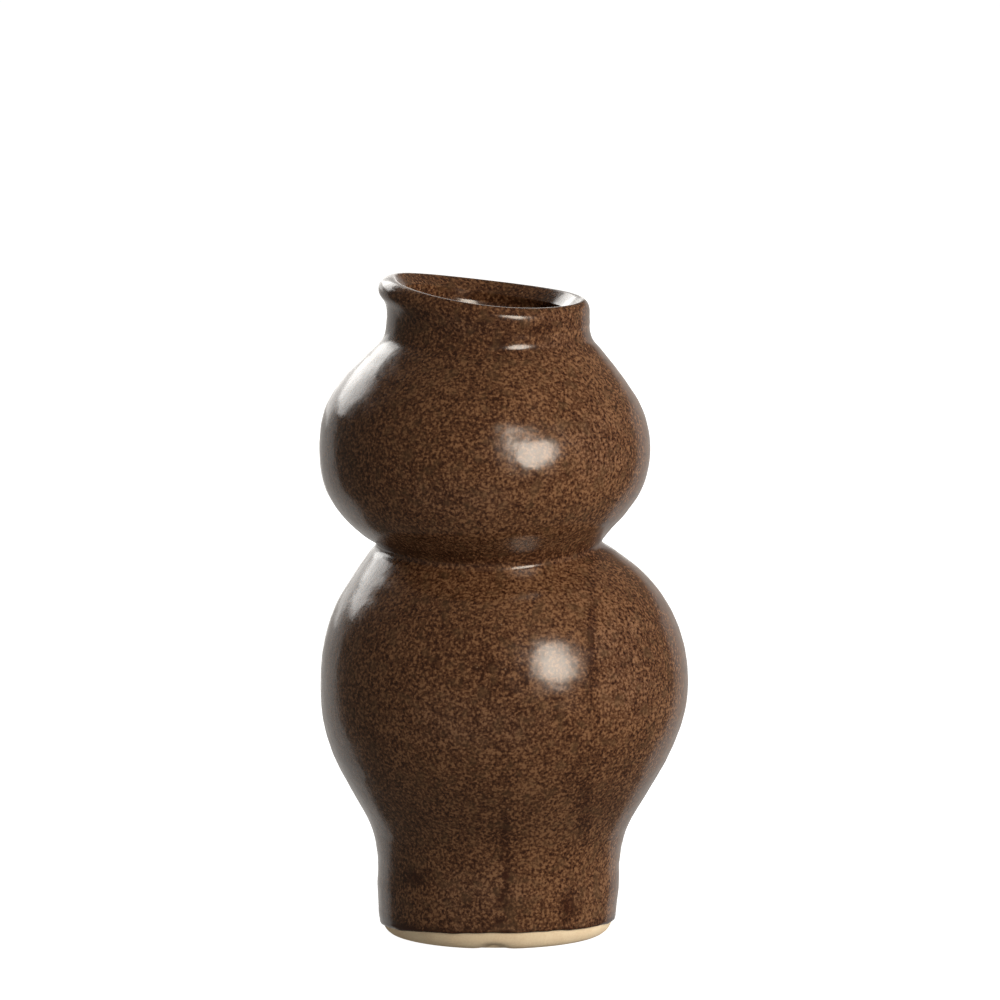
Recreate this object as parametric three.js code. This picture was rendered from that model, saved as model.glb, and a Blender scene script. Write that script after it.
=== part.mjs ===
// A hand-thrown stoneware bud vase, shaped like a small gourd: a drum foot, a lower
// bulb, a waist crease, an upper bulb, a short neck and a rolled lip. It is made as a
// potter makes it: a floor slab, thrown wall sections luted on top of each other, a lip
// coil, a glaze coat outside that stops short of the ground, and a liner glaze inside.
//
// Millimetres, +Z up, the origin on the ground under the middle of the vase, front -Y.
// Neighbouring pieces meet on a shared surface and share its triangles exactly.

import * as THREE from 'three';

// ---- Heights ----
const SLAB_THICKNESS = 6; // floor of the vase, and the height of its rounded edge
const FOOT_WALL_HEIGHT = 21; // slab up to the soft corner under the lower bulb
const LOWER_BULB_HEIGHT = 68.2; // that corner to the waist crease
const LOWER_BELLY_RISE = 33.5; // that corner to the widest ring of the lower bulb
const UPPER_BULB_HEIGHT = 49.6; // waist crease to the foot of the neck collar
const UPPER_BELLY_RISE = 23.2; // waist crease to the widest ring of the upper bulb
const COLLAR_RISE = 3.6; // foot of the collar to the narrowest ring of the neck
const LIP_SEAM_RISE = 2.4; // narrowest ring to the joint under the lip coil
const LIP_SWELL_RISE = 2.6; // that joint to the widest ring of the lip
const LIP_CROWN = 3.1; // widest ring of the lip to its crest

// ---- Outside radii, over the glaze ----
const FOOT_RADIUS = 29.25; // slight swell of the drum foot
const EDGE_SETBACK = 0.35; // that swell in to the top of the slab's edge
const EDGE_ROUNDING = 2.95; // bare clay there in to the flat that stands on the ground
const FOOT_HOLLOWING = 0.1; // the swell in to the slight hollow above it
const FOOT_FLARE = 2.25; // the swell out to the soft corner under the lower bulb
const LOWER_BULB_RADIUS = 44.5;
const WAIST_RADIUS = 27.3;
const UPPER_BULB_RADIUS = 40;
const NECK_RADIUS = 24.4; // narrowest ring of the neck
const COLLAR_FLARE = 0.8; // that ring out to the foot of the collar
const LIP_SEAM_FLARE = 0.35; // that ring out to the joint under the lip coil
const LIP_OVERHANG = 1; // that ring out to the widest ring of the lip
const LIP_ROLL = 2.2; // widest ring of the lip in to its crest

// ---- The wall ----
const CLAY_WALL = 4.4;
const OUTER_GLAZE = 0.45;
const LINER_GLAZE = 0.35;
const FLOOR_FILLET = 3; // liner glaze pooled in the corner of the floor

// ---- The glaze line over the bare foot ----
const GLAZE_LINE = 2.85; // mean height
const GLAZE_LINE_FRONT = 0.9; // how far it climbs in front and dips behind
const GLAZE_LINE_SIDE = 0.5; // how far it climbs on the right and dips on the left
const GLAZE_LINE_SAG = 0.55; // how far both sides hang below front and back
const GLAZE_EDGE = 0.4; // height of the rolled edge where the glaze ends

// ---- How the hand-made body strays from a true turning ----
const RIM_TILT = 2.75; // the lip rises this much on the left and falls as much on the right
const RIM_NOD = 0.3; // it rises this much at the back and falls as much in front
const RIM_SADDLE = 0.6; // left and right of it stand above its front and back

// ---- Facets ----
const COLUMNS = 32; // round the vase
const ARC_STEPS = 3; // along each quarter of the lip, and along the floor's fillet
const TURN = 2 * Math.PI;
const QUARTER = Math.PI / 2;

// ---- Radii and levels that follow from the sizes ----
const FOOT_EDGE_RADIUS = FOOT_RADIUS - EDGE_SETBACK;
const FOOT_HOLLOW_RADIUS = FOOT_RADIUS - FOOT_HOLLOWING;
const LIP_RADIUS = NECK_RADIUS + LIP_OVERHANG;
const CREST_RADIUS = LIP_RADIUS - LIP_ROLL;
const FOOT_SWELL_LEVEL = SLAB_THICKNESS + 0.25 * FOOT_WALL_HEIGHT;
const FOOT_HOLLOW_LEVEL = SLAB_THICKNESS + 0.5 * FOOT_WALL_HEIGHT;
const FOOT_HEIGHT = SLAB_THICKNESS + FOOT_WALL_HEIGHT;
const LOWER_BELLY_LEVEL = FOOT_HEIGHT + LOWER_BELLY_RISE;
const WAIST_LEVEL = FOOT_HEIGHT + LOWER_BULB_HEIGHT;
const UPPER_BELLY_LEVEL = WAIST_LEVEL + UPPER_BELLY_RISE;
const COLLAR_LEVEL = WAIST_LEVEL + UPPER_BULB_HEIGHT;
const NECK_LEVEL = COLLAR_LEVEL + COLLAR_RISE;
const LIP_SEAM_LEVEL = NECK_LEVEL + LIP_SEAM_RISE;
const LIP_SWELL_LEVEL = LIP_SEAM_LEVEL + LIP_SWELL_RISE;
const CREST_LEVEL = LIP_SWELL_LEVEL + LIP_CROWN;

// How each flank of a bulb fills out, from its narrow ring to its widest one, as
// [share of the height, share of the swell].
const LOWER_UNDERSIDE = [[0.24, 0.35], [0.49, 0.7], [0.75, 0.93]];
const LOWER_SHOULDER = [[0.075, 0.15], [0.23, 0.45], [0.455, 0.757], [0.715, 0.942]];
const UPPER_UNDERSIDE = [[0.12, 0.215], [0.336, 0.59], [0.612, 0.895]];
const UPPER_SHOULDER = [[0.12, 0.19], [0.375, 0.585], [0.66, 0.892]];

// How the centre of the rings wanders along X on the way up, as [level, drift]. The
// upper bulb sits well to the left of the lower one.
const DRIFTS = [
  [0, -1.6],
  [FOOT_SWELL_LEVEL, -1.25],
  [FOOT_HEIGHT, -0.85],
  [FOOT_HEIGHT + 0.5 * LOWER_BELLY_RISE, -0.45],
  [LOWER_BELLY_LEVEL, 0.25],
  [WAIST_LEVEL - 0.45 * (WAIST_LEVEL - LOWER_BELLY_LEVEL), -0.4],
  [WAIST_LEVEL - 0.23 * (WAIST_LEVEL - LOWER_BELLY_LEVEL), -1.1],
  [WAIST_LEVEL, -3.55],
  [WAIST_LEVEL + 0.12 * UPPER_BELLY_RISE, -4.75],
  [UPPER_BELLY_LEVEL, -4.4],
  [UPPER_BELLY_LEVEL + 0.6 * (COLLAR_LEVEL - UPPER_BELLY_LEVEL), -4.75],
  [NECK_LEVEL, -3.6],
  [LIP_SWELL_LEVEL, -4.35],
  [CREST_LEVEL, -4.35],
];

// The drift of the centre at a level, straight between the levels listed.
function driftAt(level) {
  const next = DRIFTS.findIndex(([listed]) => listed > level);
  if (next < 1) {
    return DRIFTS.at(next)[1];
  }
  const [below, from] = DRIFTS[next - 1];
  const [above, to] = DRIFTS[next];
  return THREE.MathUtils.mapLinear(level, below, above, from, to);
}

// A ring of the vase: its radius, its level, the drift of its centre, how much it takes
// of the lip's tilt, and how much of the glaze line's wave.
function ring(radius, level, drift = driftAt(level), wave = 0) {
  const tilt = THREE.MathUtils.smoothstep(level, COLLAR_LEVEL, LIP_SWELL_LEVEL);
  return { radius, level, drift, tilt, wave };
}

// Where a point of a ring lies, at an angle round the vase.
function place({ radius, level, drift, tilt, wave }, angle) {
  const rim =
    RIM_SADDLE * Math.cos(2 * angle) +
    RIM_NOD * Math.sin(angle) -
    RIM_TILT * Math.cos(angle);
  const line =
    GLAZE_LINE_SIDE * Math.cos(angle) -
    GLAZE_LINE_FRONT * Math.sin(angle) -
    GLAZE_LINE_SAG * Math.cos(2 * angle);
  return [
    radius * Math.cos(angle) + drift,
    radius * Math.sin(angle),
    level + tilt * rim + wave * line,
  ];
}

// Turns a closed profile of rings, listed anticlockwise with the axis on the left, into
// a solid. A ring of no radius is one point. Each four-cornered patch is cut from its
// lower ring to its higher one the same way round, whichever way the profile runs, so
// two pieces that share a surface share its triangles.
function turned(profile) {
  const positions = [];
  const corners = profile.map((each) => {
    const count = each.radius > 0 ? COLUMNS : 1;
    const first = positions.length / 3;
    for (let column = 0; column < count; column += 1) {
      positions.push(...place(each, (TURN * column) / COLUMNS));
    }
    return (column) => first + (column % count);
  });
  const index = [];
  profile.forEach((lower, row) => {
    const after = (row + 1) % profile.length;
    const upper = profile[after];
    const [p, q] = [corners[row], corners[after]];
    const rises = (upper.level - lower.level || upper.radius - lower.radius) > 0;
    for (let i = 0; i < COLUMNS; i += 1) {
      const patch = rises
        ? [[p(i), p(i + 1), q(i + 1)], [p(i), q(i + 1), q(i)]]
        : [[p(i), p(i + 1), q(i)], [p(i + 1), q(i + 1), q(i)]];
      index.push(...patch.filter((face) => new Set(face).size === 3).flat());
    }
  });
  const geometry = new THREE.BufferGeometry();
  geometry.setAttribute('position', new THREE.Float32BufferAttribute(positions, 3));
  geometry.setIndex(index);
  geometry.computeVertexNormals();
  return geometry;
}

// The rings that fill the flank between a narrow ring and a wide one.
function flank(narrow, wide, shares) {
  return shares.map(([height, swell]) =>
    ring(
      THREE.MathUtils.lerp(narrow.radius, wide.radius, swell),
      THREE.MathUtils.lerp(narrow.level, wide.level, height),
    ),
  );
}

// A quarter of an ellipse in the radius-level plane, from one angle to another a quarter
// turn on, both ends included.
function quarterArc(radius, level, reach, rise, start) {
  return Array.from({ length: ARC_STEPS + 1 }, (_, step) => {
    const angle = start + (QUARTER * step) / ARC_STEPS;
    return ring(radius + reach * Math.cos(angle), level + rise * Math.sin(angle));
  });
}

// The rounded lower edge of the slab: part of an ellipse that starts at the flat and
// stands upright at the slab's top. Gives the ring at a share of its height, in bare clay
// or with a depth of glaze on it.
function edgeRing(share, wave, glaze = 0) {
  const upright = FOOT_EDGE_RADIUS - OUTER_GLAZE;
  const setback = EDGE_ROUNDING * (1 - Math.sqrt(1 - (1 - share) ** 2));
  const level = share * SLAB_THICKNESS;
  return ring(upright - setback + glaze, level, driftAt(level), wave);
}

// ---- The wall's rings, from the slab's top to the joint under the lip coil ----
const slabTop = ring(FOOT_EDGE_RADIUS, SLAB_THICKNESS);
const footSwell = ring(FOOT_RADIUS, FOOT_SWELL_LEVEL);
const footHollow = ring(FOOT_HOLLOW_RADIUS, FOOT_HOLLOW_LEVEL);
const footTop = ring(FOOT_RADIUS + FOOT_FLARE, FOOT_HEIGHT);
const lowerBelly = ring(LOWER_BULB_RADIUS, LOWER_BELLY_LEVEL);
const waist = ring(WAIST_RADIUS, WAIST_LEVEL);
const upperBelly = ring(UPPER_BULB_RADIUS, UPPER_BELLY_LEVEL);
const collar = ring(NECK_RADIUS + COLLAR_FLARE, COLLAR_LEVEL);
const neck = ring(NECK_RADIUS, NECK_LEVEL);
const lipSeam = ring(NECK_RADIUS + LIP_SEAM_FLARE, LIP_SEAM_LEVEL);
const lipSwell = ring(LIP_RADIUS, LIP_SWELL_LEVEL);

const wallRings = [
  slabTop,
  footSwell,
  footHollow,
  ...flank(footHollow, footTop, [[0.58, 0.36]]),
  footTop,
  ...flank(footTop, lowerBelly, LOWER_UNDERSIDE),
  lowerBelly,
  ...flank(waist, lowerBelly, LOWER_SHOULDER).reverse(),
  waist,
  ...flank(waist, upperBelly, UPPER_UNDERSIDE),
  upperBelly,
  ...flank(collar, upperBelly, UPPER_SHOULDER).reverse(),
  collar,
  neck,
  lipSeam,
];

// The wall's surfaces at each of its rings: the glaze skin, the clay under it, the
// inside of the clay and the liner's skin, each at its depth along the skin's normal.
const skinCurve = new THREE.CatmullRomCurve3(
  [...wallRings, lipSwell].map(({ radius, level }) => new THREE.Vector3(radius, level, 0)),
);
const wall = wallRings.map((skin, row) => {
  const { x, y } = row === 0 ? { x: 0, y: 1 } : skinCurve.getTangent(row / wallRings.length);
  const atDepth = (depth) => ring(skin.radius - depth * y, skin.level + depth * x, skin.drift);
  return {
    skin,
    clay: atDepth(OUTER_GLAZE),
    inside: atDepth(OUTER_GLAZE + CLAY_WALL),
    liner: atDepth(OUTER_GLAZE + CLAY_WALL + LINER_GLAZE),
  };
});
const rowOf = (skin) => wallRings.indexOf(skin);

// ---- The slab's edge, from the flat past the glaze line to the slab's top ----
const lineShare = GLAZE_LINE / SLAB_THICKNESS;
const aboveLineShare = 0.5 * (lineShare + 1);
const flatEdge = edgeRing(0, 0);
const lowEdge = edgeRing(0.3 * lineShare, 0);
const glazeLine = edgeRing(lineShare, 1);
const aboveLine = edgeRing(aboveLineShare, 0.5);

// ---- The lip ----
// One surface of the lip: an outer quarter up to the crest, and an inner quarter down to
// the wall's own ring at the joint under the lip.
function lipSurface(roll, crestLevel, mouthRing) {
  const crown = crestLevel - LIP_SWELL_LEVEL;
  const reach = CREST_RADIUS - mouthRing.radius;
  const drop = crestLevel - mouthRing.level;
  const outer = quarterArc(CREST_RADIUS, LIP_SWELL_LEVEL, roll, crown, 0);
  const inner = quarterArc(CREST_RADIUS, mouthRing.level, reach, drop, QUARTER);
  return { outer, crest: outer.at(-1), inner: inner.slice(1, -1) };
}

const atLipSeam = wall.at(-1);
const crestGlaze = 0.5 * (OUTER_GLAZE + LINER_GLAZE);
const lipSkin = lipSurface(LIP_ROLL, CREST_LEVEL, atLipSeam.liner);
const lipClay = lipSurface(LIP_ROLL - OUTER_GLAZE, CREST_LEVEL - crestGlaze, atLipSeam.inside);

// The floor slab: a disc with a rounded edge, and the ledge that carries the foot wall.
function baseSlab() {
  return turned([
    ring(0, 0),
    flatEdge,
    lowEdge,
    glazeLine,
    aboveLine,
    wall[0].clay,
    wall[0].inside,
    ring(0, SLAB_THICKNESS),
  ]);
}

// A thrown section of the clay wall, between two of the wall's rings.
function wallSection(lowest, highest) {
  const rows = wall.slice(rowOf(lowest), rowOf(highest) + 1);
  const insideDown = rows.map((row) => row.inside).reverse();
  return turned([...rows.map((row) => row.clay), ...insideDown]);
}

// The coil rolled over as the lip.
function lipCoil() {
  return turned([atLipSeam.clay, ...lipClay.outer, ...lipClay.inner, atLipSeam.inside]);
}

// The glaze outside: from the glaze line, where it ends in a rolled edge, up the skin to
// the crest, and back down on the clay.
function outerGlaze() {
  return turned([
    glazeLine,
    edgeRing(lineShare + GLAZE_EDGE / SLAB_THICKNESS, 1, 0.8 * OUTER_GLAZE),
    edgeRing(aboveLineShare, 0.5, OUTER_GLAZE),
    ...wallRings,
    ...lipSkin.outer,
    ...lipClay.outer.toReversed(),
    ...wall.map((row) => row.clay).reverse(),
    aboveLine,
  ]);
}

// The liner glaze: from the crest down the inside, pooled round the corner of the floor.
function linerGlaze() {
  const floorLevel = SLAB_THICKNESS + LINER_GLAZE;
  const filletRadius = wall[0].liner.radius - FLOOR_FILLET;
  const filletLevel = floorLevel + FLOOR_FILLET;
  const fillet = quarterArc(filletRadius, filletLevel, FLOOR_FILLET, FLOOR_FILLET, -QUARTER);
  const skinDown = wall.slice(1).map((row) => row.liner).reverse();
  return turned([
    lipSkin.crest,
    ...lipSkin.inner,
    ...skinDown,
    ...fillet.reverse(),
    ring(0, floorLevel),
    ring(0, SLAB_THICKNESS),
    ...wall.map((row) => row.inside),
    ...lipClay.inner.toReversed(),
    lipClay.crest,
  ]);
}

// ---- Materials ----
function clay() {
  return new THREE.MeshStandardMaterial({ color: '#cbb08d', roughness: 0.85, metalness: 0 });
}

function brownGlaze() {
  return new THREE.MeshStandardMaterial({ color: '#4d3423', roughness: 0.28, metalness: 0 });
}

// ---- The vase ----
const vase = new THREE.Group();

function add(name, geometry, material) {
  const mesh = new THREE.Mesh(geometry, material);
  mesh.name = name;
  vase.add(mesh);
}

add('base_slab', baseSlab(), clay());
add('foot_wall', wallSection(slabTop, footTop), clay());
add('lower_bulb', wallSection(footTop, waist), clay());
add('upper_bulb', wallSection(waist, collar), clay());
add('neck_collar', wallSection(collar, lipSeam), clay());
add('lip_coil', lipCoil(), clay());
add('outer_glaze', outerGlaze(), brownGlaze());
add('liner_glaze', linerGlaze(), brownGlaze());

export default vase;
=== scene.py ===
"""A hand-thrown stoneware bud vase in a speckled brown glaze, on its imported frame."""
import math

import bpy
import numpy as np
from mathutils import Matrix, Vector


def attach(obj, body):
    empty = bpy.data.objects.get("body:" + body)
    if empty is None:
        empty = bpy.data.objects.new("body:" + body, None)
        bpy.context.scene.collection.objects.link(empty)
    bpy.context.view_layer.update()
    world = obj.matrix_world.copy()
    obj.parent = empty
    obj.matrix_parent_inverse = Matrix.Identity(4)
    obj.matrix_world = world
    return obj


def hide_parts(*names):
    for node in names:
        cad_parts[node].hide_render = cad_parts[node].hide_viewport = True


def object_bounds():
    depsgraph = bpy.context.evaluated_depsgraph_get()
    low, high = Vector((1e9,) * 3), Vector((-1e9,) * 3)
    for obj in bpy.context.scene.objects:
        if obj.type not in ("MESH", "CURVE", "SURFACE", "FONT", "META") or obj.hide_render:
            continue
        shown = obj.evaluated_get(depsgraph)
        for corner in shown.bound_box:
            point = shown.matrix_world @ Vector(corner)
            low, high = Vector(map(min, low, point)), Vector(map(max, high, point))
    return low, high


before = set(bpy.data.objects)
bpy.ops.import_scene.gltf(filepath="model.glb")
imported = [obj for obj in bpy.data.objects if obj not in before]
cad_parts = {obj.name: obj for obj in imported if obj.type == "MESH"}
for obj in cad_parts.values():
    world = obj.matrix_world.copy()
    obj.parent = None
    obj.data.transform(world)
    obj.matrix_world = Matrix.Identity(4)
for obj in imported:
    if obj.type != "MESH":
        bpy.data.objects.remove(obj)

cad_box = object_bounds()

# ---- The potter's sizes, in millimetres, and the frame's own height to scale them by ----
OVERALL_HEIGHT = 159.85
MM = (cad_box[1].z - cad_box[0].z) / OVERALL_HEIGHT

SLAB_THICKNESS = 6
FOOT_WALL_HEIGHT = 21
LOWER_BULB_HEIGHT = 68.2
LOWER_BELLY_RISE = 33.5
UPPER_BULB_HEIGHT = 49.6
UPPER_BELLY_RISE = 23.2
COLLAR_RISE = 3.6
LIP_SEAM_RISE = 2.4
LIP_SWELL_RISE = 2.6
LIP_CROWN = 3.1

FOOT_RADIUS = 29.25
EDGE_SETBACK = 0.35
EDGE_ROUNDING = 2.95
FOOT_HOLLOWING = 0.1
FOOT_FLARE = 2.25
LOWER_BULB_RADIUS = 44.5
WAIST_RADIUS = 27.3
UPPER_BULB_RADIUS = 40
NECK_RADIUS = 24.4
COLLAR_FLARE = 0.8
LIP_SEAM_FLARE = 0.35
LIP_OVERHANG = 1
LIP_ROLL = 2.2

CLAY_WALL = 4.4
OUTER_GLAZE = 0.45
LINER_GLAZE = 0.35
FLOOR_FILLET = 3

GLAZE_LINE = 2.85
GLAZE_LINE_FRONT = 0.9
GLAZE_LINE_SIDE = 0.5
GLAZE_LINE_SAG = 0.55

RIM_TILT = 2.75
RIM_NOD = 0.3
RIM_SADDLE = 0.6

# What differs in front and on the left of the true turning.
FRONT_SPREAD = 0.9  # radians either way
WAIST_FRONT_EASE = 0.1
WAIST_FRONT_DROP = 2.5
SHOULDER_FRONT_TUCK = 0.04  # share of the lower bulb's swell
UNDERSIDE_FRONT_TUCK = 0.11  # share of the upper bulb's swell
COLLAR_FRONT_LEAN = 0.8  # share of the collar's flare
LIP_FRONT_RISE = 0.9
LIP_FRONT_PINCH = 0.25
FOLD_SPREAD = 0.72  # radians either way
FOLD_STEEPNESS = 6
FOLD_GROOVE = 0.3
FOLD_SAG = 0.9
FOLD_THICKNESS = 1.1
FOLD_THICKNESS_SPREAD = 0.5
EVEN_OVERHANG = 0.75  # shares of the overhang, round the lip and more on the fold
FOLD_OVERHANG = 0.5
MOUTH_EASE = 0.15

# ---- Levels that follow, ground up ----
FOOT_SWELL_LEVEL = SLAB_THICKNESS + 0.25 * FOOT_WALL_HEIGHT
FOOT_HOLLOW_LEVEL = SLAB_THICKNESS + 0.5 * FOOT_WALL_HEIGHT
FOOT_TOP = SLAB_THICKNESS + FOOT_WALL_HEIGHT
LOWER_BELLY = FOOT_TOP + LOWER_BELLY_RISE
WAIST = FOOT_TOP + LOWER_BULB_HEIGHT
UPPER_BELLY = WAIST + UPPER_BELLY_RISE
COLLAR = WAIST + UPPER_BULB_HEIGHT
NECK = COLLAR + COLLAR_RISE
LIP_SEAM = NECK + LIP_SEAM_RISE
LIP_SWELL = LIP_SEAM + LIP_SWELL_RISE
CREST = LIP_SWELL + LIP_CROWN

# How each flank of a bulb fills out, from its narrow ring to its widest one, as
# (share of the height, share of the swell).
LOWER_UNDERSIDE = ((0.24, 0.35), (0.49, 0.7), (0.75, 0.93))
LOWER_SHOULDER = ((0.075, 0.15), (0.23, 0.45), (0.455, 0.757), (0.715, 0.942))
UPPER_UNDERSIDE = ((0.12, 0.215), (0.336, 0.59), (0.612, 0.895))
UPPER_SHOULDER = ((0.12, 0.19), (0.375, 0.585), (0.66, 0.892))

# How the centre of the rings wanders along X on the way up, as (level, drift).
DRIFTS = (
    (0, -1.6),
    (FOOT_SWELL_LEVEL, -1.25),
    (FOOT_TOP, -0.85),
    (FOOT_TOP + 0.5 * LOWER_BELLY_RISE, -0.45),
    (LOWER_BELLY, 0.25),
    (WAIST - 0.45 * (WAIST - LOWER_BELLY), -0.4),
    (WAIST - 0.23 * (WAIST - LOWER_BELLY), -1.1),
    (WAIST, -3.55),
    (WAIST + 0.12 * UPPER_BELLY_RISE, -4.75),
    (UPPER_BELLY, -4.4),
    (UPPER_BELLY + 0.6 * (COLLAR - UPPER_BELLY), -4.75),
    (NECK, -3.6),
    (LIP_SWELL, -4.35),
    (CREST, -4.35),
)

# ---- Fineness of the surfaces ----
COLUMNS = 320  # round the vase
SPAN_ROWS = 7  # between two of the rings that shape a wall
EDGE_ROWS = 16  # up the rounded edge of the slab
TURN = 2 * math.pi
ANGLES = np.arange(COLUMNS) * TURN / COLUMNS  # from the right, anticlockwise from above
LEFT = math.pi
FRONT = 1.5 * math.pi
SHARP_EDGE = math.radians(50)


# ---- Curves ----
def smooth_curve(points, rows_per_span):
    """A centripetal Catmull-Rom curve through points (stations, columns, axes): on each
    span a cubic whose end slopes come from the neighbouring spans, weighted by the square
    roots of their lengths. Returns the curve's points and its unit tangents."""
    before = 2 * points[:1] - points[1:2]
    after = 2 * points[-1:] - points[-2:-1]
    path = np.concatenate([before, points, after])
    gaps = np.sqrt(np.linalg.norm(np.diff(path, axis=0), axis=-1, keepdims=True))
    gaps = np.maximum(gaps, 1e-4)
    g0, g1, g2 = gaps[:-2], gaps[1:-1], gaps[2:]
    p0, p1, p2, p3 = path[:-3], path[1:-2], path[2:-1], path[3:]
    start = g1 * ((p1 - p0) / g0 - (p2 - p0) / (g0 + g1) + (p2 - p1) / g1)
    end = g1 * ((p2 - p1) / g1 - (p3 - p1) / (g1 + g2) + (p3 - p2) / g2)
    t = (np.arange(rows_per_span) / rows_per_span).reshape(1, -1, 1, 1)
    a, b, c, d = (x[:, None] for x in (p1, start, p2, end))
    cubic = -2 * (c - a) + b + d
    square = 3 * (c - a) - 2 * b - d
    place = a + b * t + square * t**2 + cubic * t**3
    slope = b + 2 * square * t + 3 * cubic * t**2
    place = place.reshape(-1, *points.shape[1:])
    slope = slope.reshape(-1, *points.shape[1:])
    place = np.concatenate([place, points[-1:]])
    slope = np.concatenate([slope, end[-1:]])
    return place, slope / np.linalg.norm(slope, axis=-1, keepdims=True)


def bump(angle, centre, width, steep=2):
    """A smooth hill round the vase, 1 at the centre angle and falling off either way as a
    bell curve of that width in radians. A steeper one has a flat top and short sides."""
    away = (angle - centre + math.pi) % TURN - math.pi
    return np.exp(-(np.abs(away / width) ** steep))


def eased(value, low, high):
    """0 below low, 1 above high, and a smooth step between."""
    share = np.clip((value - low) / (high - low), 0, 1)
    return share * share * (3 - 2 * share)


# ---- The rings of the skin, each (radius, level) at every column ----
def ring(radius, level):
    """One ring: radius and level, each a number or one value per column."""
    return np.stack([radius + 0 * ANGLES, level + 0 * ANGLES], -1)


def flank(narrow, wide, shares):
    """The rings between a narrow ring and a wide one, from shares of height and swell."""
    (r0, z0), (r1, z1) = narrow, wide
    return [ring(r0 + swell * (r1 - r0), z0 + height * (z1 - z0)) for height, swell in shares]


def drawn_in(shares, amount):
    """The shares of a flank with the first one's swell less by an amount."""
    (height, swell), *others = shares
    return [(height, swell - amount), *others]


def in_front():
    """1 in the middle of the front, falling to 0 round the sides."""
    return bump(ANGLES, FRONT, FRONT_SPREAD)


def folded():
    """Where the lip is folded over into a thick bead: 1 on the left, 0 elsewhere."""
    return bump(ANGLES, LEFT, FOLD_SPREAD, FOLD_STEEPNESS)


def wall_sections():
    """The skin's rings from the top of the slab's edge to the joint under the lip, in the
    clay's own sections: foot, lower bulb, upper bulb, neck. In front the crease of the
    waist sits lower with a short upright wall in it, and the neck leans out as it rises."""
    foot_hollow = (FOOT_RADIUS - FOOT_HOLLOWING, FOOT_HOLLOW_LEVEL)
    foot_top = (FOOT_RADIUS + FOOT_FLARE, FOOT_TOP)
    lower_belly = (LOWER_BULB_RADIUS, LOWER_BELLY)
    front = in_front()
    waist = (WAIST_RADIUS + WAIST_FRONT_EASE * front, WAIST - WAIST_FRONT_DROP * front)
    upper_belly = (UPPER_BULB_RADIUS, UPPER_BELLY)
    collar = (NECK_RADIUS + COLLAR_FLARE * (1 - COLLAR_FRONT_LEAN * front), COLLAR)
    foot = [
        ring(FOOT_RADIUS - EDGE_SETBACK, SLAB_THICKNESS),
        ring(FOOT_RADIUS, FOOT_SWELL_LEVEL),
        ring(*foot_hollow),
        *flank(foot_hollow, foot_top, [(0.58, 0.36)]),
    ]
    lower = [
        ring(*foot_top),
        *flank(foot_top, lower_belly, LOWER_UNDERSIDE),
        ring(*lower_belly),
        *flank(waist, lower_belly, drawn_in(LOWER_SHOULDER, SHOULDER_FRONT_TUCK * front))[::-1],
    ]
    upper = [
        ring(*waist),
        *flank(waist, upper_belly, drawn_in(UPPER_UNDERSIDE, UNDERSIDE_FRONT_TUCK * front)),
        ring(*upper_belly),
        *flank(collar, upper_belly, UPPER_SHOULDER)[::-1],
    ]
    neck = [
        ring(*collar),
        ring(NECK_RADIUS, NECK),
        ring(NECK_RADIUS + LIP_SEAM_FLARE - FOLD_GROOVE * folded(), LIP_SEAM),
    ]
    return foot, lower, upper, neck


def lip_rings(mouth):
    """The skin's rings over the lip, from its widest ring to the mouth, a radius inside,
    each a share of the way from the widest ring to the crest, or from the crest to the
    mouth. The roll stands furthest out on the fold at the left, where a groove runs under
    it. In front the widest ring is higher and the turn above it is tighter."""
    front = in_front()
    swell = NECK_RADIUS + LIP_OVERHANG * (EVEN_OVERHANG + FOLD_OVERHANG * folded())
    fold_inward = FOLD_THICKNESS * bump(ANGLES, LEFT, FOLD_THICKNESS_SPREAD)
    crest = NECK_RADIUS + LIP_OVERHANG - LIP_ROLL - fold_inward
    turn_level = LIP_SWELL + (0.55 + 0.1 * front) * LIP_CROWN
    return [
        ring(swell, LIP_SWELL + 0.2 - FOLD_SAG * folded() + LIP_FRONT_RISE * front),
        ring(0.88 * swell + 0.12 * crest - LIP_FRONT_PINCH * front, turn_level),
        ring(0.5 * swell + 0.5 * crest, CREST - 0.12 * LIP_CROWN),
        ring(crest, CREST),
        ring(0.6 * crest + 0.4 * mouth, CREST - 0.25 * LIP_CROWN),
        ring(mouth - MOUTH_EASE, CREST - 0.85 * LIP_CROWN),
    ]


# ---- Where the hand left the true turning ----
drift_path, _ = smooth_curve(np.array(DRIFTS, float)[:, None], 12)


def drift_at(level):
    """The sideways offset of the rings' centre at a level: a smooth curve through DRIFTS."""
    return np.interp(level, drift_path[:, 0, 0], drift_path[:, 0, 1])


# The patch where the side of a hand pressed the upper bulb flatter.
PALM_ANGLE = FRONT + 0.31
PALM_LEVEL = UPPER_BELLY + 10.2
PALM_DEPTH = 1.2
PALM_LENGTH = 15.5
PALM_WIDTH = 7.2

# Thumb dents, as (angle, spread, level, spread up, depth).
DENTS = (
    (LEFT + 0.55, 0.3, LOWER_BELLY - 13.5, 6, 0.3),
    (LEFT + 0.4, 0.3, UPPER_BELLY - 12.4, 5, 0.25),
)
MARKS_BEGIN = 4  # the slab's edge keeps its true turning
MARKS_FULL = 14


def palm_patch(level):
    """A bell curve on the wall, long one way and short the other and leaning a little."""
    along = UPPER_BULB_RADIUS * ((ANGLES - PALM_ANGLE + math.pi) % TURN - math.pi)
    up = level - PALM_LEVEL
    long_way = 1.04 * along + 0.31 * up
    short_way = 0.95 * up - 0.34 * along
    return np.exp(-((long_way / PALM_LENGTH) ** 2) - (short_way / PALM_WIDTH) ** 2)


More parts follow.
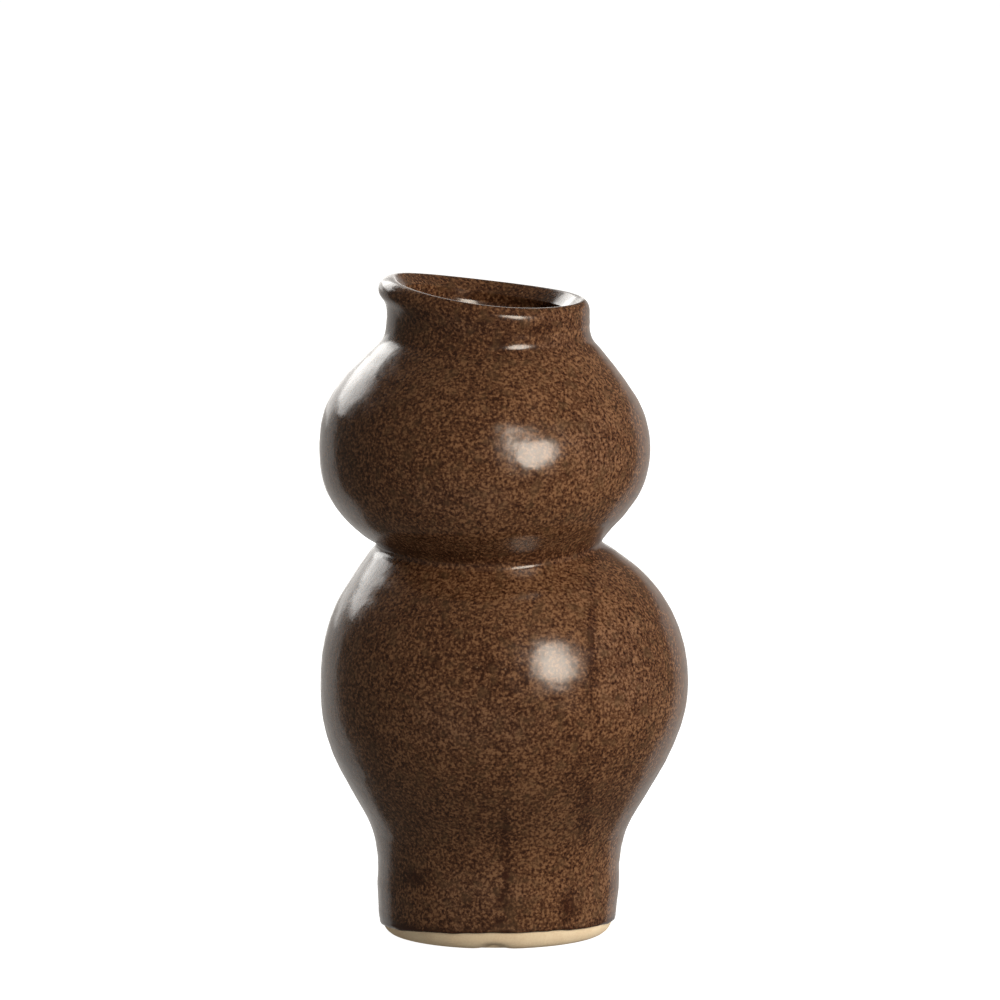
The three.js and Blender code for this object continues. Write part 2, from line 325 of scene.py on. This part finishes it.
def hand_marks(level):
    """How far the wall stands off its true turning at a level, for every column: shallow
    spiral throwing rings, which are a sine of the level plus the angle, a slow wander of
    two and three waves round the vase that turns as it rises, the palm's patch, and the
    thumb dents, which are bell curves of the angle and the level. It dies out at the foot."""
    thrown = 0.03 * np.sin(TURN * level / 4.3 + ANGLES) * np.sin(level / 9.1 + 2 * ANGLES)
    slow = 0.15 * np.sin(2 * ANGLES + level / 23 + 0.8) * np.sin(level / 17)
    slower = 0.1 * np.sin(3 * ANGLES - level / 15 + 1)
    marks = thrown + slow + slower - PALM_DEPTH * palm_patch(level)
    for angle, spread_round, height, spread_up, depth in DENTS:
        up = np.exp(-(((level - height) / spread_up) ** 2))
        marks = marks - depth * bump(ANGLES, angle, spread_round) * up
    return marks * eased(level, MARKS_BEGIN, MARKS_FULL)


FLOOR_CALM = 15  # radius inside which the floor keeps its true turning


def placed(rings):
    """Grid of (radius, level) rings to points in metres: each turned round the axis,
    moved aside by its level's drift, and near the lip raised by the rim's tilt, nod and
    saddle, which are a cosine, a sine and a double cosine of the angle."""
    radius, level = rings[..., 0], rings[..., 1]
    radius = radius + hand_marks(level) * eased(radius, FLOOR_CALM, FLOOR_CALM + 5)
    rim = (
        RIM_SADDLE * np.cos(2 * ANGLES)
        + RIM_NOD * np.sin(ANGLES)
        - RIM_TILT * np.cos(ANGLES)
    )
    lift = eased(level, COLLAR, LIP_SWELL) * rim
    x = radius * np.cos(ANGLES) + drift_at(level)
    return np.stack([x, radius * np.sin(ANGLES), level + lift], -1) * MM


def inset(rings, tangents, depth):
    """The rings a depth inside the skin, along the skin's own normal."""
    return rings - depth * np.stack([tangents[..., 1], -tangents[..., 0]], -1)


# ---- The surfaces of the wall, from the slab's top over the lip into the mouth ----
DEPTHS = {
    "skin": 0.0,
    "clay": OUTER_GLAZE,
    "inside": OUTER_GLAZE + CLAY_WALL,
    "liner": OUTER_GLAZE + CLAY_WALL + LINER_GLAZE,
}
sections = wall_sections()
mouth_radius = NECK_RADIUS + LIP_SEAM_FLARE - DEPTHS["liner"]
stations = np.stack([each for section in sections for each in section])
lip_stations = np.stack(lip_rings(mouth_radius))
skin, slope = smooth_curve(np.concatenate([stations, lip_stations]), SPAN_ROWS)
slope[0] = (0, 1)
seam_rows = np.cumsum([0, *(len(section) for section in sections)]) * SPAN_ROWS
seam_rows[-1] -= SPAN_ROWS
LIP_ROW = seam_rows[-1]
wall = {
    name: inset(skin[: LIP_ROW + 1], slope[: LIP_ROW + 1], depth)
    for name, depth in DEPTHS.items()
}
lip_skin = skin[LIP_ROW:]
lip_clay = inset(lip_skin, slope[LIP_ROW:], OUTER_GLAZE)


def inner_lip(outside_end, wall_end):
    """Rings from the end of the lip's own curve down inside the mouth to the wall's ring
    at the joint under the lip, straight."""
    share = np.linspace(0, 1, SPAN_ROWS)[1:-1, None, None]
    return outside_end + share * (wall_end - outside_end)


# ---- The slab's rounded edge ----
def edge_ring(level, glaze=0.0):
    """A ring on the slab's edge at a level, or at one level per column: part of an ellipse
    that starts at the flat and stands upright at the slab's top, with a depth of glaze."""
    share = np.clip(level / SLAB_THICKNESS, 0, 1)
    setback = EDGE_ROUNDING * (1 - np.sqrt(1 - (1 - share) ** 2))
    return ring(FOOT_RADIUS - EDGE_SETBACK - OUTER_GLAZE - setback + glaze, level)


def glaze_line():
    """The height of the glaze's lower edge at every column: a slow wave that climbs in
    front, and small scallops where the glaze ran."""
    wave = (
        GLAZE_LINE_SIDE * np.cos(ANGLES)
        - GLAZE_LINE_FRONT * np.sin(ANGLES)
        - GLAZE_LINE_SAG * np.cos(2 * ANGLES)
    )
    scallops = (
        0.08 * np.sin(11 * ANGLES + 1)
        + 0.04 * np.sin(23 * ANGLES)
        + 0.03 * np.sin(31 * ANGLES + 2)
    )
    return GLAZE_LINE + wave + scallops


NICK_ANGLE = FRONT - 0.03
NICK_WIDTH = 0.1  # radians either way
NICK_HEIGHT = 1.1
NICK_DEPTH = 1.3
NICK_LIFT = 0.75


def bare_edge():
    """The slab's edge in bare clay, from the flat to the slab's top, on an even grid of
    angles of its ellipse, with a worn nick under the front, a bell curve round the vase
    and up the edge, and the ripple of the wire and sponge, small sines of the angle."""
    angle = np.linspace(0, 1, EDGE_ROWS) * math.pi / 2
    levels = SLAB_THICKNESS * (1 - np.cos(angle))
    rings = np.stack([edge_ring(level) for level in levels])
    nick_up = np.exp(-((levels / NICK_HEIGHT) ** 2))[:, None]
    nick = bump(ANGLES, NICK_ANGLE, NICK_WIDTH) * nick_up
    ripple = 0.05 * np.sin(9 * ANGLES + 1) + 0.03 * np.sin(31 * ANGLES)
    rings[..., 0] += ripple * np.sin(2 * angle)[:, None] - NICK_DEPTH * nick
    rings[..., 1] += NICK_LIFT * nick
    return rings


def edge_coat():
    """The glaze over the slab's edge, from where it ends to the slab's top: its depth grows
    as a quarter circle from nothing, swells a little in the rolled edge, then evens out."""
    foot = glaze_line()
    rise = np.linspace(0, 1, 2 * EDGE_ROWS)[:, None] ** 1.6 * (SLAB_THICKNESS - foot)
    level = foot + rise
    start = np.sqrt(1 - (1 - np.clip(rise / 0.4, 0, 1)) ** 2)
    depth = OUTER_GLAZE * start * (1 + 0.25 * np.exp(-(((rise - 0.6) / 0.5) ** 2)))
    return np.stack([edge_ring(z, d) for z, d in zip(level, depth)])


# ---- Meshes ----
def turned_mesh(name, grid, poles=False, step=1):
    """A closed mesh from a grid of points (rows, columns, 3) whose profile runs
    anticlockwise with the axis on its left. The columns close on themselves. With poles
    the first and last rows are single points; without, the last row joins the first.
    The step leaves out columns where the shape is hidden."""
    grid = grid[:, ::step]
    number = np.arange(grid.shape[0] * grid.shape[1]).reshape(grid.shape[:2])
    if poles:
        number[[0, -1]] = number[[0, -1], :1]
    kept, number = np.unique(number, return_inverse=True)
    number = number.reshape(grid.shape[:2])
    if not poles:
        number = np.concatenate([number, number[:1]])
    beside = np.roll(number, -1, axis=1)
    quads = np.stack([number[:-1], beside[:-1], beside[1:], number[1:]], -1)
    faces = quads[1:-1].reshape(-1, 4).tolist() if poles else quads.reshape(-1, 4).tolist()
    if poles:
        faces += quads[0][:, [0, 2, 3]].tolist() + quads[-1][:, [0, 1, 2]].tolist()
    mesh = bpy.data.meshes.new(name)
    mesh.from_pydata(grid.reshape(-1, 3)[kept], [], faces)
    mesh.shade_smooth()
    mesh.set_sharp_from_angle(angle=SHARP_EDGE)
    mesh.update()
    piece = bpy.data.objects.new(name, mesh)
    bpy.context.scene.collection.objects.link(piece)
    return piece


def fit(piece, node, slot, material):
    """Puts a piece in the place of its CAD node, with its finish."""
    piece.data.materials.append(material)
    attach(piece, "root")
    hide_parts(node)


def axis_ring(level):
    """A row of points all on the axis of the foot, where a profile ends in a pole."""
    return ring(0.0, level)[None]


def floor_ring(radius, level):
    """A row on a flat floor, as a grid of one ring."""
    return ring(radius, level)[None]


def base_slab():
    """The floor disc: from the axis out along the flat that stands on the ground, up the
    rounded edge, in along the ledge that carries the foot wall, and back to the axis."""
    edge = bare_edge()
    return placed(np.concatenate([
        axis_ring(0.0),
        *[floor_ring(share * edge[0, 0, 0], 0.0) for share in (0.4, 0.8, 0.95)],
        edge[:-1],
        wall["clay"][:1],
        wall["inside"][:1],
        axis_ring(SLAB_THICKNESS),
    ]))


def wall_section(first, last):
    """A thrown section of the clay wall between two rows: up its outside, down its inside."""
    rows = slice(first, last + 1)
    return placed(np.concatenate([wall["clay"][rows], wall["inside"][rows][::-1]]))


def lip_coil():
    """The coil rolled over as the lip: over its clay, then down inside the mouth."""
    down = inner_lip(lip_clay[-1:], wall["inside"][-1:])
    return placed(np.concatenate([lip_clay, down, wall["inside"][-1:]]))


def glaze_coat():
    """The glaze outside: from its rolled edge over the foot up the skin, over the lip and
    into the mouth, and back down on the clay."""
    coat = edge_coat()
    levels = np.linspace(np.full(COLUMNS, SLAB_THICKNESS), glaze_line(), 6)
    back = np.stack([edge_ring(level) for level in levels[1:-1]])
    return placed(np.concatenate([
        coat[:-1],
        skin,
        lip_clay[::-2],
        wall["clay"][::-4],
        back,
    ]))


def liner_coat():
    """The glaze inside: from the end of the outer glaze down the inside of the wall, round
    the pooled corner of the floor to the axis, and back on the clay."""
    floor_level = SLAB_THICKNESS + LINER_GLAZE
    fillet_angle = np.linspace(0, math.pi / 2, 9)
    corner = wall["liner"][0, 0, 0] - FLOOR_FILLET
    fillet = [
        ring(corner + FLOOR_FILLET * math.cos(a), floor_level + FLOOR_FILLET * (1 - math.sin(a)))
        for a in fillet_angle
    ]
    down = wall["liner"][::-1]
    down = down[down[:, 0, 1] > floor_level + FLOOR_FILLET + 0.2]
    return placed(np.concatenate([
        axis_ring(SLAB_THICKNESS),
        wall["inside"][::3],
        inner_lip(lip_clay[-1:], wall["inside"][-1:])[::-1],
        lip_clay[-1:],
        lip_skin[-1:],
        inner_lip(lip_skin[-1:], wall["liner"][-1:]),
        down,
        np.stack(fillet),
        floor_ring(0.5 * corner, floor_level),
        axis_ring(floor_level),
    ]))


# ---- Finishes ----
def node(tree, kind, inputs, **settings):
    """Adds a shader node, sets it up, and fills its inputs with values or other outputs."""
    made = tree.nodes.new(kind)
    for name, value in settings.items():
        setattr(made, name, value)
    for name, value in inputs.items():
        if isinstance(value, bpy.types.NodeSocket):
            tree.links.new(value, made.inputs[name])
        else:
            made.inputs[name].default_value = value
    return made


def math_node(tree, operation, first, second):
    """first (operation) second, as numbers."""
    return node(tree, "ShaderNodeMath", {0: first, 1: second}, operation=operation).outputs[0]


def times(tree, value, share):
    """A value multiplied by a share."""
    return math_node(tree, "MULTIPLY", value, share)


def with_layer(tree, value, layer, share):
    """A value plus a share of a layer."""
    return math_node(tree, "ADD", value, times(tree, layer, share))


def spread(tree, value, low, high, to_low=0.0, to_high=1.0):
    """A value's range low to high, stretched to another range and held inside it."""
    inputs = {"Value": value, 1: low, 2: high, 3: to_low, 4: to_high}
    return node(tree, "ShaderNodeMapRange", inputs, interpolation_type="SMOOTHSTEP").outputs[0]


def mixed(tree, share, first, second):
    """From the first colour to the second by a share."""
    inputs = {0: share, 6: first, 7: second}
    return node(tree, "ShaderNodeMix", inputs, data_type="RGBA").outputs[2]


def blotches(tree, place, grain, detail=2.0, roughness=0.5, distortion=0.0):
    """A cloudy pattern whose spots are about grain millimetres across."""
    inputs = {"Vector": place, "Scale": 1 / grain, "Detail": detail}
    inputs.update({"Roughness": roughness, "Distortion": distortion})
    return node(tree, "ShaderNodeTexNoise", inputs).outputs[0]


def dots(tree, place, spacing, size):
    """1 inside scattered round dots of a size, one in each cell of that spacing, and 0
    outside, with a soft edge."""
    inputs = {"Vector": place, "Scale": 1 / spacing}
    away = node(tree, "ShaderNodeTexVoronoi", inputs).outputs["Distance"]
    return spread(tree, away, 0.35 * size / spacing, 0.5 * size / spacing, 1.0, 0.0)


def millimetres(tree, turn=0.0):
    """The place on the object, in millimetres, turned a little about X."""
    where = node(tree, "ShaderNodeTexCoord", {}).outputs["Object"]
    inputs = {"Vector": where, "Rotation": (turn, 0, 0), "Scale": (1 / MM,) * 3}
    return node(tree, "ShaderNodeMapping", inputs).outputs[0]


def new_finish(name, **constants):
    """A material with a principled shader and its constant values."""
    made = bpy.data.materials.new(name)
    made.use_nodes = True
    shader = made.node_tree.nodes["Principled BSDF"]
    for socket, value in constants.items():
        shader.inputs[socket.replace("_", " ")].default_value = value
    return made, made.node_tree, shader


DARK_GLAZE = (0.029, 0.0098, 0.004, 1)
BROWN_GLAZE = (0.083, 0.0355, 0.0165, 1)
TAN_GLAZE = (0.187, 0.094, 0.046, 1)
POOLED_GLAZE = (0.036, 0.0095, 0.0038, 1)
OLIVE_GLAZE = (0.075, 0.042, 0.02, 1)
FLECK = (0.3, 0.19, 0.12, 1)


# Sizes in the glaze, in millimetres.
SPECKLE_GRAIN = 0.74
FINE_GRAIN = 0.42
CLOUD_GRAIN = 4.5
WIDE_GRAIN = 26.0
OLIVE_GRAIN = 3.0
PEEL_GRAIN = 2.6
PEEL_HEIGHT = 0.09
DARK_DOTS = (4.6, 0.8)  # spacing and size
LIGHT_FLECKS = (7.0, 0.5)

# The tones between which the glaze turns from dark to brown, and from brown to tan.
DARK_TO_BROWN = (0.62, 0.8)
BROWN_TO_TAN = (0.79, 0.95)


def relief(tree, shader, height, strength, distance):
    """Raises a fine surface on a shader, from a height and its greatest rise."""
    inputs = {"Strength": strength, "Distance": distance * MM, "Height": height}
    normal = node(tree, "ShaderNodeBump", inputs).outputs[0]
    tree.links.new(normal, shader.inputs["Normal"])


def brown_glaze():
    """The satin brown glaze: a dense speckle of dark, brown and tan spots a millimetre
    across, in soft clouds, with small dark spots and light flecks, darker and redder where
    the coat is thick, under a fine orange-peel surface."""
    made, tree, shader = new_finish("brown_glaze", IOR=1.5)
    place = millimetres(tree)
    turned = millimetres(tree, 0.7)
    speckle = blotches(tree, place, SPECKLE_GRAIN, 2.0, 0.5, 0.2)
    fine = blotches(tree, place, FINE_GRAIN, 1.0)
    cloud = blotches(tree, place, CLOUD_GRAIN)
    wide = blotches(tree, place, WIDE_GRAIN, 1.0)
    thick = node(tree, "ShaderNodeAttribute", {}, attribute_name="thickness").outputs["Fac"]
    tone = with_layer(tree, speckle, fine, 0.3)
    tone = with_layer(tree, tone, cloud, 0.16)
    tone = with_layer(tree, tone, wide, 0.14)
    tone = with_layer(tree, tone, thick, -0.22)
    colour = mixed(tree, spread(tree, tone, *DARK_TO_BROWN), DARK_GLAZE, BROWN_GLAZE)
    colour = mixed(tree, spread(tree, tone, *BROWN_TO_TAN), colour, TAN_GLAZE)
    olive = spread(tree, blotches(tree, place, OLIVE_GRAIN, 1.0), 0.5, 0.75, 0.0, 0.45)
    colour = mixed(tree, olive, colour, OLIVE_GLAZE)
    colour = mixed(tree, times(tree, dots(tree, place, *DARK_DOTS), 0.6), colour, DARK_GLAZE)
    colour = mixed(tree, times(tree, dots(tree, turned, *LIGHT_FLECKS), 0.5), colour, FLECK)
    colour = mixed(tree, spread(tree, thick, 0.35, 1.2, 0.0, 0.75), colour, POOLED_GLAZE)
    tree.links.new(colour, shader.inputs["Base Color"])
    tree.links.new(spread(tree, cloud, 0.3, 0.7, 0.16, 0.24), shader.inputs["Roughness"])
    peel = with_layer(tree, blotches(tree, place, PEEL_GRAIN, 1.0), speckle, 0.16)
    relief(tree, shader, peel, 0.55, PEEL_HEIGHT)
    return made


CREAM_CLAY = (0.8, 0.66, 0.46, 1)
TOASTED_CLAY = (0.68, 0.5, 0.32, 1)
CLAY_SPECK = (0.2, 0.12, 0.07, 1)


CLAY_GRAIN = 0.5
CLAY_CLOUD_GRAIN = 6.0
CLAY_SPECKS = (3.0, 0.35)  # spacing and size
SPONGED_HEIGHT = 0.12


def bare_stoneware():
    """Unglazed cream stoneware: soft clouds of paler and more toasted clay, a fine grain,
    a few iron specks, and the sandy surface that the sponge leaves."""
    made, tree, shader = new_finish("bare_stoneware", Roughness=0.82, IOR=1.45)
    place = millimetres(tree)
    grain = blotches(tree, place, CLAY_GRAIN, 2.0, 0.6)
    cloud = blotches(tree, place, CLAY_CLOUD_GRAIN)
    toast = with_layer(tree, times(tree, grain, 0.5), cloud, 0.6)
    colour = mixed(tree, spread(tree, toast, 0.42, 0.72, 0.0, 0.55), CREAM_CLAY, TOASTED_CLAY)
    colour = mixed(tree, times(tree, dots(tree, place, *CLAY_SPECKS), 0.6), colour, CLAY_SPECK)
    tree.links.new(colour, shader.inputs["Base Color"])
    relief(tree, shader, grain, 0.5, SPONGED_HEIGHT)
    return made


# Where the coat gathered all round, as (level, spread, how much), and where it ran or
# gathered in front, as (across, level, spread across, spread up, how much).
CREASES = ((WAIST, 2.2, 0.45), (COLLAR, 2.0, 0.25), (LIP_SEAM, 4.5, 0.3))
RUNS = (
    (21.0, 77, 1.2, 12, 0.7),
    (19.5, 35, 1.6, 10, 0.6),
    (0.6, 26, 1.3, 19, 0.6),
    (-1.5, 71, 5.5, 0.9, 0.45),
    (0.5, 67, 4.5, 0.9, 0.4),
    (-21.4, 16.5, 2.6, 2.2, 0.9),
    (0.8, 18.5, 1.2, 0.8, 0.8),
    (-0.9, 12.8, 1.1, 1.3, 0.8),
    (15.9, 10, 2.2, 3.4, 0.9),
    (-1.3, 6.7, 1.4, 1.3, 0.8),
)


def thickness_of(points):
    """How thick the glaze lies at each point, 0 for an even coat: it pools along its lower
    edge, in the creases of waist and neck and under the lip, and in the runs in front,
    each a bell curve across and up."""
    x, y, z = (points / MM).T
    thick = np.exp(-((np.maximum(z - GLAZE_LINE - 0.6, 0) / 1.3) ** 2))
    for level, high, amount in CREASES:
        thick += amount * np.exp(-(((z - level) / high) ** 2))
    for across, level, wide, high, amount in RUNS:
        fall = ((x - across) / wide) ** 2 + ((z - level) / high) ** 2
        thick += amount * (y < 0) * np.exp(-fall)
    return thick


glaze = brown_glaze()
stoneware = bare_stoneware()
clay_node = {"slot": "bare_stoneware", "material": stoneware}
foot_row, lower_row, upper_row, collar_row, lip_row = (int(row) for row in seam_rows)

fit(turned_mesh("foot_slab", base_slab(), poles=True), "base_slab", **clay_node)
for name, section, first, last in (
    ("foot_ring", "foot_wall", foot_row, lower_row),
    ("lower_gourd", "lower_bulb", lower_row, upper_row),
    ("upper_gourd", "upper_bulb", upper_row, collar_row),
    ("collar_ring", "neck_collar", collar_row, lip_row),
):
    fit(turned_mesh(name, wall_section(first, last), step=2), section, **clay_node)
fit(turned_mesh("rolled_lip", lip_coil(), step=2), "lip_coil", **clay_node)
coat = turned_mesh("glaze_coat", glaze_coat())
fit(coat, "outer_glaze", slot="brown_glaze", material=glaze)
lining = turned_mesh("glaze_lining", liner_coat(), poles=True)
fit(lining, "liner_glaze", slot="liner_glaze", material=glaze)
for piece in (coat, lining):
    corners = np.empty(3 * len(piece.data.vertices))
    piece.data.vertices.foreach_get("co", corners)
    laid = piece.data.attributes.new("thickness", "FLOAT", "POINT")
    laid.data.foreach_set("value", thickness_of(corners.reshape(-1, 3)).astype(np.float32))


# ---- Studio ----
SWEEP_FLAT = 4.2
SWEEP_BEND = 1.5
SWEEP_HEIGHT = 6.5


def sweep(flat, bend, height, columns=96, bend_rows=13):
    """The studio's floor and wall in one: a disc, a quarter circle up, and a wall."""
    turn = np.linspace(0, math.pi / 2, bend_rows)
    radii = np.concatenate([[0.0, 0.5 * flat], flat + bend * np.sin(turn), [flat + bend]])
    levels = np.concatenate([[0.0, 0.0], bend * (1 - np.cos(turn)), [height]])
    angle = np.arange(columns) * TURN / columns
    x = radii[:, None] * np.cos(angle)
    grid = np.stack([x, radii[:, None] * np.sin(angle), levels[:, None] + 0 * x], -1)
    number = np.arange(grid.shape[0] * columns).reshape(-1, columns)
    beside = np.roll(number, -1, axis=1)
    quads = np.stack([number[:-1], number[1:], beside[1:], beside[:-1]], -1)
    mesh = bpy.data.meshes.new("studio_sweep")
    faces = quads[1:].reshape(-1, 4).tolist() + [number[1].tolist()]
    mesh.from_pydata(grid.reshape(-1, 3), [], faces)
    mesh.shade_smooth()
    made = bpy.data.objects.new("studio_sweep", mesh)
    bpy.context.scene.collection.objects.link(made)
    return made


def paper():
    """Seamless white paper, bright and even."""
    made, _, shader = new_finish("white_paper", Roughness=0.9, Emission_Strength=0.99)
    shader.inputs["Base Color"].default_value = (0.35, 0.35, 0.35, 1)
    shader.inputs["Emission Color"].default_value = (1, 1, 1, 1)
    shader.inputs["Specular IOR Level"].default_value = 0.0
    return made


studio = sweep(SWEEP_FLAT, SWEEP_BEND, SWEEP_HEIGHT)
studio.data.materials.append(paper())
studio.visible_diffuse = False
studio.visible_glossy = False
studio.visible_shadow = False


LIGHT_AIM = 0.085  # metres above the floor
WARM = (1.0, 0.9, 0.77)
NEUTRAL = (1.0, 0.985, 0.955)
AIR_COLOUR = (1, 0.88, 0.74, 1)
AIR_STRENGTH = 0.12

# Soft lights, in metres, degrees and watts: azimuth to the right of the camera, elevation,
# distance, width, height and power.
GLOSSY_LIGHTS = (
    ("side_box", -146, 25, 1.07, 0.75, 0.42, 4),
    ("back_box", -165, 21.3, 1.073, 0.85, 0.8, 2.4),
    ("back_wall", -178, 0, 1.3, 0.5, 0.5, 0.8),
    ("side_glow", -150, -12, 1.6, 1.3, 1.3, 2.6),
    ("right_glow", 152, -10, 1.6, 1.1, 1.3, 1.9),
)
FILL_LIGHTS = (
    ("right_fill", 92, 12, 1.6, 1.4, 1.4, 27),
    ("floor_bounce", -15, -22, 0.22, 0.3, 0.1, 0.1),
)


def softbox(name, azimuth, elevation, distance, width, height, power):
    """A flat soft light that faces the vase."""
    data = bpy.data.lights.new(name, "AREA")
    data.shape = "RECTANGLE"
    data.size, data.size_y = width, height
    data.energy = power
    data.color = NEUTRAL
    made = bpy.data.objects.new(name, data)
    across, up = math.radians(azimuth), math.radians(elevation)
    flat = math.cos(up)
    way = np.array([math.sin(across) * flat, -math.cos(across) * flat, math.sin(up)])
    made.location = np.array([0, 0, LIGHT_AIM]) + distance * way
    made.rotation_euler = (math.pi / 2 - up, 0, across)
    made.visible_camera = False
    bpy.context.scene.collection.objects.link(made)
    return made


near_box = softbox("near_box", 33, 21, 0.47, 0.19, 0.25, 1.75)
near_box.data.shape = "ELLIPSE"
near_box.data.color = WARM
for light in GLOSSY_LIGHTS:
    softbox(*light)
for light in FILL_LIGHTS:
    softbox(*light).visible_glossy = False

world = bpy.data.worlds.new("studio_air")
world.use_nodes = True
air = world.node_tree.nodes["Background"]
air.inputs["Color"].default_value = AIR_COLOUR
air.inputs["Strength"].default_value = AIR_STRENGTH
bpy.context.scene.world = world
bpy.context.scene.view_settings.view_transform = "Standard"


# ---- Camera ----
CAMERA_PITCH = math.radians(8.0)
CAMERA_DISTANCE = 2.4
CAMERA_REACH = 100
CAMERA_LENS = 357.7
CAMERA_AIM = (-0.8, 0.0, 105.4)


def camera():
    """A long lens that looks down a little at the vase from in front."""
    data = bpy.data.cameras.new("camera")
    data.lens = CAMERA_LENS
    data.clip_end = CAMERA_REACH
    made = bpy.data.objects.new("camera", data)
    aim = np.array(CAMERA_AIM) * MM
    back = np.array([0, -math.cos(CAMERA_PITCH), math.sin(CAMERA_PITCH)])
    made.location = aim + CAMERA_DISTANCE * back
    made.rotation_euler = (math.pi / 2 - CAMERA_PITCH, 0, 0)
    bpy.context.scene.collection.objects.link(made)
    bpy.context.scene.camera = made


camera()
